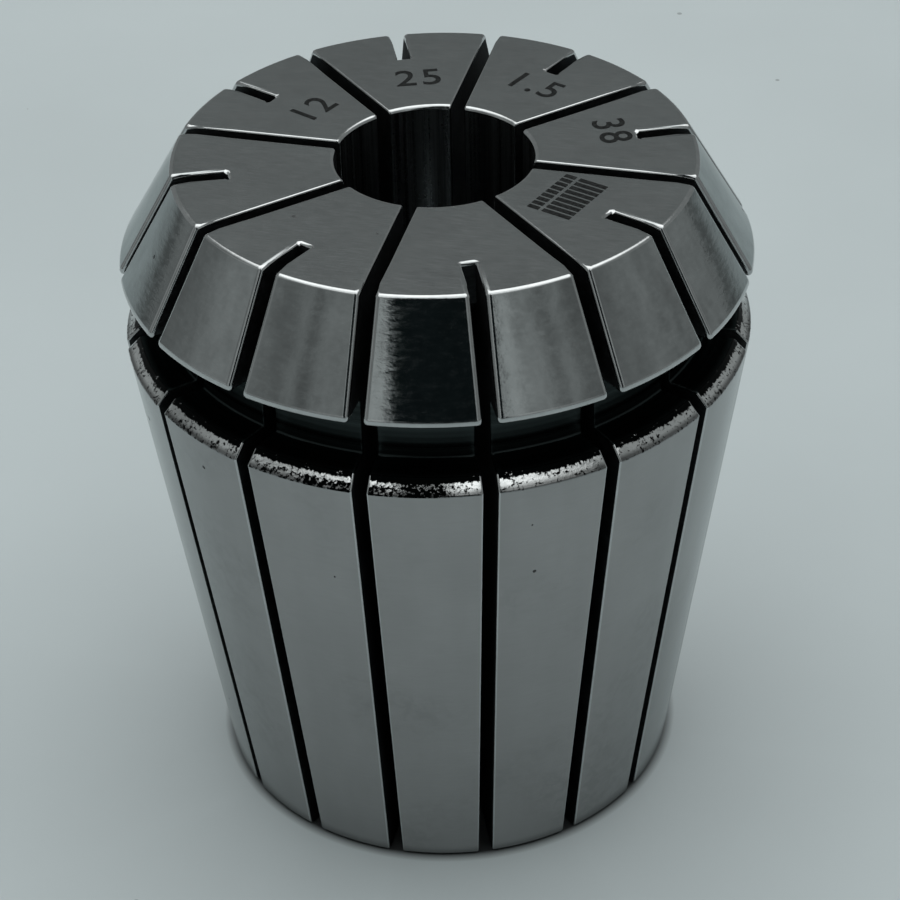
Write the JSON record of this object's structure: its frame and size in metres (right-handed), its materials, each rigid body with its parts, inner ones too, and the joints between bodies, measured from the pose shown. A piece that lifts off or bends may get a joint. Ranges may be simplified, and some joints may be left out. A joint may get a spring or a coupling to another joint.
{
  "type": "er collet",
  "caption": "Slit spring collet with a long rear cone, a steep front cone, a nut groove and a plain round bore, for holding a straight shank in a tool holder.",
  "frame": {"origin": "on the axis, in the plane of the small rear face", "axes": "+Z along the bore axis, from the small rear face to the front face that the nut covers; +X through the middle of a slit that is cut from the front"},
  "size_m": [0.041, 0.041, 0.046],
  "materials": {
    "spring_steel": "ground and lapped, satin grey, with rough turned edges and dark slit walls"
  },
  "bodies": {
    "root": {"collet": "spring_steel"}
  },
  "joints": []
}
